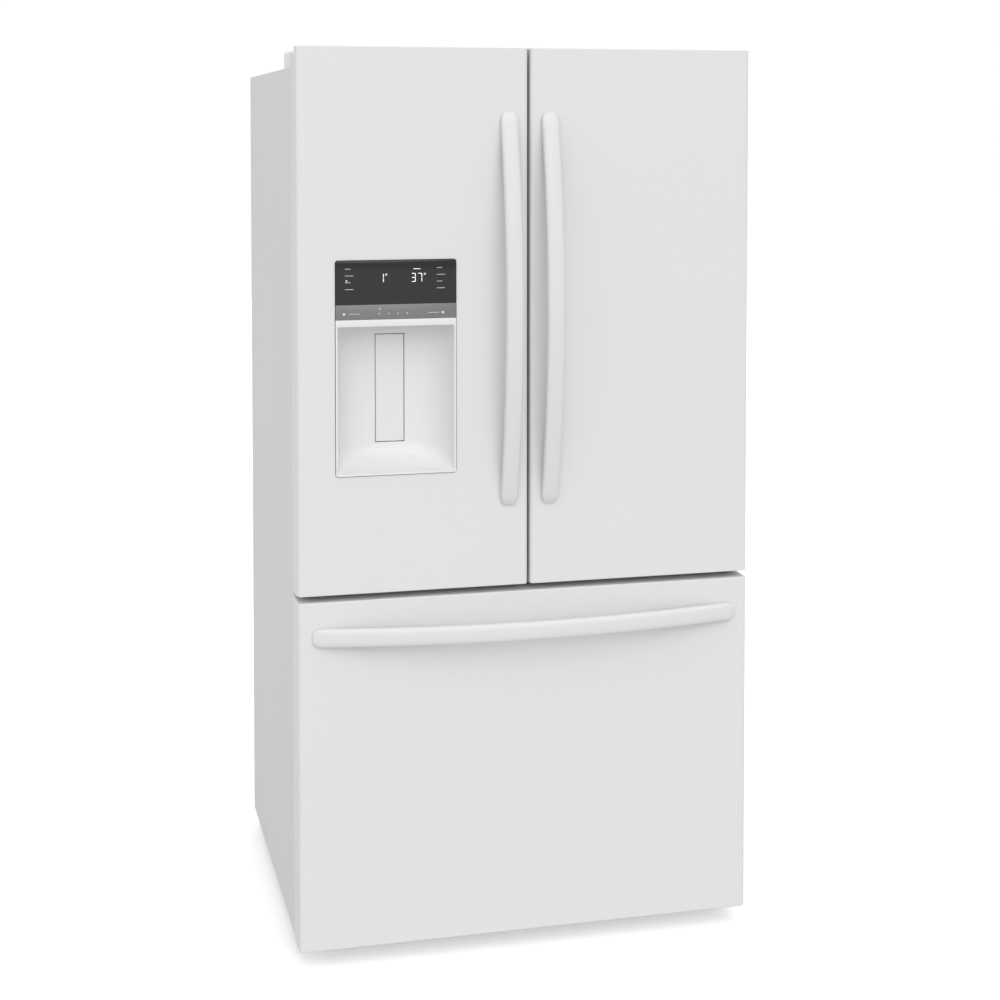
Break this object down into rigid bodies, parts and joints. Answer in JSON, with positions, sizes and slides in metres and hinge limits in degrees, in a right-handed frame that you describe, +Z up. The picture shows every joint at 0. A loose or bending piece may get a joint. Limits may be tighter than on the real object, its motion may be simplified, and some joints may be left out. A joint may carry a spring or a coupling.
{
  "type": "french door refrigerator",
  "caption": "White french door refrigerator with an ice and water dispenser in the left door, bowed handles and a pull-out freezer drawer below.",
  "frame": {"origin": "on the floor, under the middle of the object's box", "axes": "+Z up; +Y from the doors to the back; +X to the right as one faces the doors"},
  "size_m": [0.908, 0.848, 1.773],
  "materials": {
    "white_enamel": "satin",
    "bare_steel": "satin",
    "black_steel": "satin",
    "foam": "matte",
    "white_liner": "gloss",
    "white_moulding": "satin",
    "gasket_rubber": "matte",
    "clear_bin": "gloss",
    "shelf_glass": "polished",
    "display_glass": "gloss",
    "grey_strip": "satin",
    "grey_moulding": "matte",
    "black_moulding": "matte",
    "lamp_lens": "satin",
    "copper_fins": "satin",
    "filter_white": "satin"
  },
  "bodies": {
    "cabinet": {"cabinet_shell": "white_enamel", "back_panel": "bare_steel", "insulation_foam": "foam", "fresh_food_liner": "white_liner", "freezer_liner": "white_liner", "base_frame": "bare_steel", "toe_grille": "white_moulding", "machine_cover": "bare_steel", "compressor": "black_steel", "condenser": "copper_fins", "water_valve": "white_moulding", "top_hinges": "bare_steel", "hinge_covers": "white_moulding", "centre_hinges": "bare_steel", "shelf_frames": "white_moulding", "shelf_glass": "shelf_glass", "air_tower": "white_liner", "light_lenses": "lamp_lens", "ice_housing": "white_liner", "ice_maker": "grey_moulding", "fixed_rails": "bare_steel", "evaporator_cover": "white_liner"},
    "left_door": {"left_door_shell": "white_enamel", "left_door_liner": "white_liner", "left_gasket": "gasket_rubber", "left_handle": "white_moulding", "left_bins": "clear_bin", "dispenser_frame": "white_moulding", "control_strip": "grey_strip", "display_panel": "display_glass", "dispenser_cavity": "white_moulding", "ice_chute": "grey_moulding", "drip_tray": "white_moulding"},
    "right_door": {"right_door_shell": "white_enamel", "right_door_liner": "white_liner", "right_gasket": "gasket_rubber", "right_handle": "white_moulding", "right_bins": "clear_bin"},
    "mullion_bar": {"mullion_bar": "white_moulding"},
    "paddle": {"paddle": "white_moulding"},
    "freezer_drawer": {"drawer_shell": "white_enamel", "drawer_liner": "white_liner", "drawer_gasket": "gasket_rubber", "drawer_handle": "white_moulding", "drawer_rails": "bare_steel", "lower_basket": "clear_bin"},
    "middle_rails": {"middle_rails": "bare_steel"},
    "upper_basket": {"upper_basket": "clear_bin"},
    "deli_drawer": {"deli_drawer": "clear_bin"},
    "crisper_left": {"crisper_left": "clear_bin"},
    "crisper_right": {"crisper_right": "clear_bin"},
    "ice_bucket": {"ice_bucket": "clear_bin"},
    "auger": {"auger": "bare_steel"},
    "water_filter": {"water_filter": "filter_white"},
    "condenser_fan": {"condenser_fan": "black_moulding"},
    "evaporator_fan": {"evaporator_fan": "black_moulding"},
    "roller_left": {"roller_left": "black_moulding"},
    "roller_right": {"roller_right": "black_moulding"},
    "levelling_leg_left": {"levelling_leg_left": "black_moulding"},
    "levelling_leg_right": {"levelling_leg_right": "black_moulding"}
  },
  "joints": [
    {"name": "left_door_hinge", "type": "hinge", "parent": "cabinet", "child": "left_door", "pos_m": [-0.429, -0.321, 1.25], "axis": [0, 0, -1], "range_deg": [0, 110]},
    {"name": "right_door_hinge", "type": "hinge", "parent": "cabinet", "child": "right_door", "pos_m": [0.429, -0.321, 1.25], "axis": [0, 0, 1], "range_deg": [0, 110]},
    {"name": "mullion_flip", "type": "hinge", "parent": "left_door", "child": "mullion_bar", "pos_m": [-0.034, -0.274, 1.2], "axis": [0, 0, -1], "range_deg": [0, 90]},
    {"name": "paddle_press", "type": "hinge", "parent": "left_door", "child": "paddle", "pos_m": [-0.263, -0.293, 1.214], "axis": [1, 0, 0], "range_deg": [0, 4.5], "stiffness_Nm_per_rad": 0.8},
    {"name": "freezer_drawer_slide", "type": "slide", "parent": "cabinet", "child": "freezer_drawer", "axis": [0, -1, 0], "range_m": [0, 0.45]},
    {"name": "middle_rail_slide", "type": "slide", "parent": "cabinet", "child": "middle_rails", "axis": [0, -1, 0], "range_m": [0, 0.225]},
    {"name": "upper_basket_slide", "type": "slide", "parent": "cabinet", "child": "upper_basket", "axis": [0, -1, 0], "range_m": [0, 0.225]},
    {"name": "deli_drawer_slide", "type": "slide", "parent": "cabinet", "child": "deli_drawer", "axis": [0, -1, 0], "range_m": [0, 0.025]},
    {"name": "crisper_left_slide", "type": "slide", "parent": "cabinet", "child": "crisper_left", "axis": [0, -1, 0], "range_m": [0, 0.025]},
    {"name": "crisper_right_slide", "type": "slide", "parent": "cabinet", "child": "crisper_right", "axis": [0, -1, 0], "range_m": [0, 0.025]},
    {"name": "ice_bucket_slide", "type": "slide", "parent": "cabinet", "child": "ice_bucket", "axis": [0, -1, 0], "range_m": [0, 0.015]},
    {"name": "auger_turn", "type": "hinge", "parent": "ice_bucket", "child": "auger", "pos_m": [-0.295, 0, 1.4925], "axis": [0, 1, 0], "continuous": true},
    {"name": "water_filter_turn", "type": "hinge", "parent": "cabinet", "child": "water_filter", "pos_m": [0.343, -0.05, 1.645], "axis": [0, 1, 0], "range_deg": [0, 90]},
    {"name": "condenser_fan_turn", "type": "hinge", "parent": "cabinet", "child": "condenser_fan", "pos_m": [0.002, 0.33, 0.16], "axis": [1, 0, 0], "continuous": true},
    {"name": "evaporator_fan_turn", "type": "hinge", "parent": "cabinet", "child": "evaporator_fan", "pos_m": [0, 0.345, 0.56], "axis": [0, 1, 0], "continuous": true},
    {"name": "roller_left_turn", "type": "hinge", "parent": "cabinet", "child": "roller_left", "pos_m": [-0.415, 0.36, 0.02], "axis": [1, 0, 0], "continuous": true},
    {"name": "roller_right_turn", "type": "hinge", "parent": "cabinet", "child": "roller_right", "pos_m": [0.415, 0.36, 0.02], "axis": [1, 0, 0], "continuous": true},
    {"name": "levelling_leg_left_screw", "type": "slide", "parent": "cabinet", "child": "levelling_leg_left", "axis": [0, 0, -1], "range_m": [0, 0.012]},
    {"name": "levelling_leg_right_screw", "type": "slide", "parent": "cabinet", "child": "levelling_leg_right", "axis": [0, 0, -1], "range_m": [0, 0.012]}
  ],
  "couplings": [
    {"joint": "middle_rail_slide", "follows": "freezer_drawer_slide", "ratio": 0.5},
    {"joint": "upper_basket_slide", "follows": "freezer_drawer_slide", "ratio": 0.5}
  ]
}
